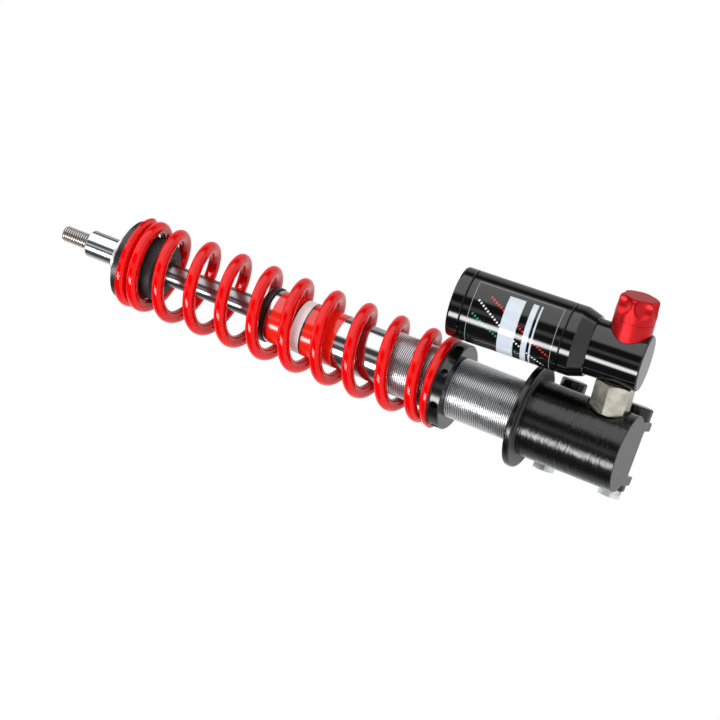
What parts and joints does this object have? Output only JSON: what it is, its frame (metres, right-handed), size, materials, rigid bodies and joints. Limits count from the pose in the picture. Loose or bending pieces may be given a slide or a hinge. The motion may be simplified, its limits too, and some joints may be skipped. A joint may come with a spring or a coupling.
{
  "type": "coilover shock absorber",
  "caption": "Coilover shock with a top stud, ground-end coil spring, threaded body with preload ring, clamp foot and piggyback reservoir with adjuster.",
  "frame": {"origin": "on the damper axis at the root of the top stud, in the plane of the spacer's top face", "axes": "+Z along the damper axis and out of the top stud, +Y out of the flat clamp face of the lower mount, +X completes the frame and is the side the reservoir stands on"},
  "size_m": [0.1257, 0.079, 0.3914],
  "materials": {
    "hard_chrome": "polished hard chrome",
    "zinc_plate": "bright zinc plate",
    "black_anodised": "black anodised",
    "black_paint": "semi-gloss black paint",
    "spring_red": "gloss red powder coat",
    "black_rubber": "moulded rubber",
    "seal_rubber": "moulded nitrile rubber",
    "steel": "ground steel",
    "alloy": "machined aluminium",
    "bearing_plastic": "filled low-friction plastic",
    "bronze": "turned bronze",
    "red_film": "gloss printed film",
    "label_film": "gloss printed film",
    "yellow_passivate": "pale passivated zinc plate",
    "red_anodised": "satin red anodised"
  },
  "bodies": {
    "upper": {"piston_rod": "hard_chrome", "top_spacer": "zinc_plate", "top_washer": "zinc_plate", "top_spring_seat": "black_anodised", "bump_stop": "black_rubber", "coil_spring": "spring_red", "top_out_bumper": "black_rubber", "piston_backing_washer": "steel", "rebound_shims": "steel", "damper_piston": "alloy", "piston_band": "bearing_plastic", "compression_shims": "steel", "piston_nut": "steel"},
    "lower": {"lower_mount": "black_paint", "threaded_sleeve": "hard_chrome", "damper_tube": "hard_chrome", "tube_band": "red_film", "seal_head": "black_anodised", "rod_wiper": "seal_rubber", "rod_bush": "bronze", "rod_seal": "seal_rubber", "seal_head_o_ring": "seal_rubber", "clamp_bolts": "zinc_plate", "hex_union": "yellow_passivate", "union_seals": "seal_rubber", "reservoir_head": "black_anodised", "reservoir_tube": "black_anodised", "reservoir_end_cap": "black_anodised", "head_o_ring": "seal_rubber", "end_cap_o_ring": "seal_rubber", "gas_valve": "bronze", "valve_cap": "bearing_plastic", "reservoir_label": "label_film", "adjuster_cartridge": "bronze"},
    "spring_perch": {"spring_slip_washer": "bearing_plastic"},
    "preload_ring": {"preload_ring": "black_anodised"},
    "floating_piston": {"floating_piston": "alloy", "floating_piston_seal": "seal_rubber"},
    "adjuster_knob": {"adjuster_knob": "red_anodised", "adjuster_spindle": "steel"},
    "metering_needle": {"metering_needle": "steel"}
  },
  "joints": [
    {"name": "damper_stroke", "type": "slide", "parent": "upper", "child": "lower", "axis": [0, 0, 1], "range_m": [0, 0.065], "stiffness_N_per_m": 19000, "springref_m": -0.012, "deforming": ["coil_spring"]},
    {"name": "floating_piston_slide", "type": "slide", "parent": "lower", "child": "floating_piston", "axis": [-0.0352, -0.0881, 0.9955], "range_m": [0, 0.0089]},
    {"name": "preload_slide", "type": "slide", "parent": "lower", "child": "spring_perch", "axis": [0, 0, 1], "range_m": [-0.00375, 0.0075], "deforming": ["coil_spring"]},
    {"name": "preload_turn", "type": "hinge", "parent": "spring_perch", "child": "preload_ring", "pos_m": [0, 0, -0.2568], "axis": [0, 0, 1], "range_deg": [-1090, 2170]},
    {"name": "knob_turn", "type": "hinge", "parent": "lower", "child": "adjuster_knob", "pos_m": [0.05414, -0.0139, -0.35322], "axis": [0.9685, -0.2487, 0.0122], "range_deg": [-182, 182]},
    {"name": "needle_slide", "type": "slide", "parent": "lower", "child": "metering_needle", "axis": [0.9685, -0.2487, 0.0122], "range_m": [-0.0005, 0.0005]}
  ],
  "couplings": [
    {"joint": "floating_piston_slide", "follows": "damper_stroke", "ratio": 0.13573},
    {"joint": "preload_turn", "follows": "preload_slide", "rad_per_m": 5026.5},
    {"joint": "knob_turn", "follows": "needle_slide", "rad_per_m": 6283.2}
  ]
}
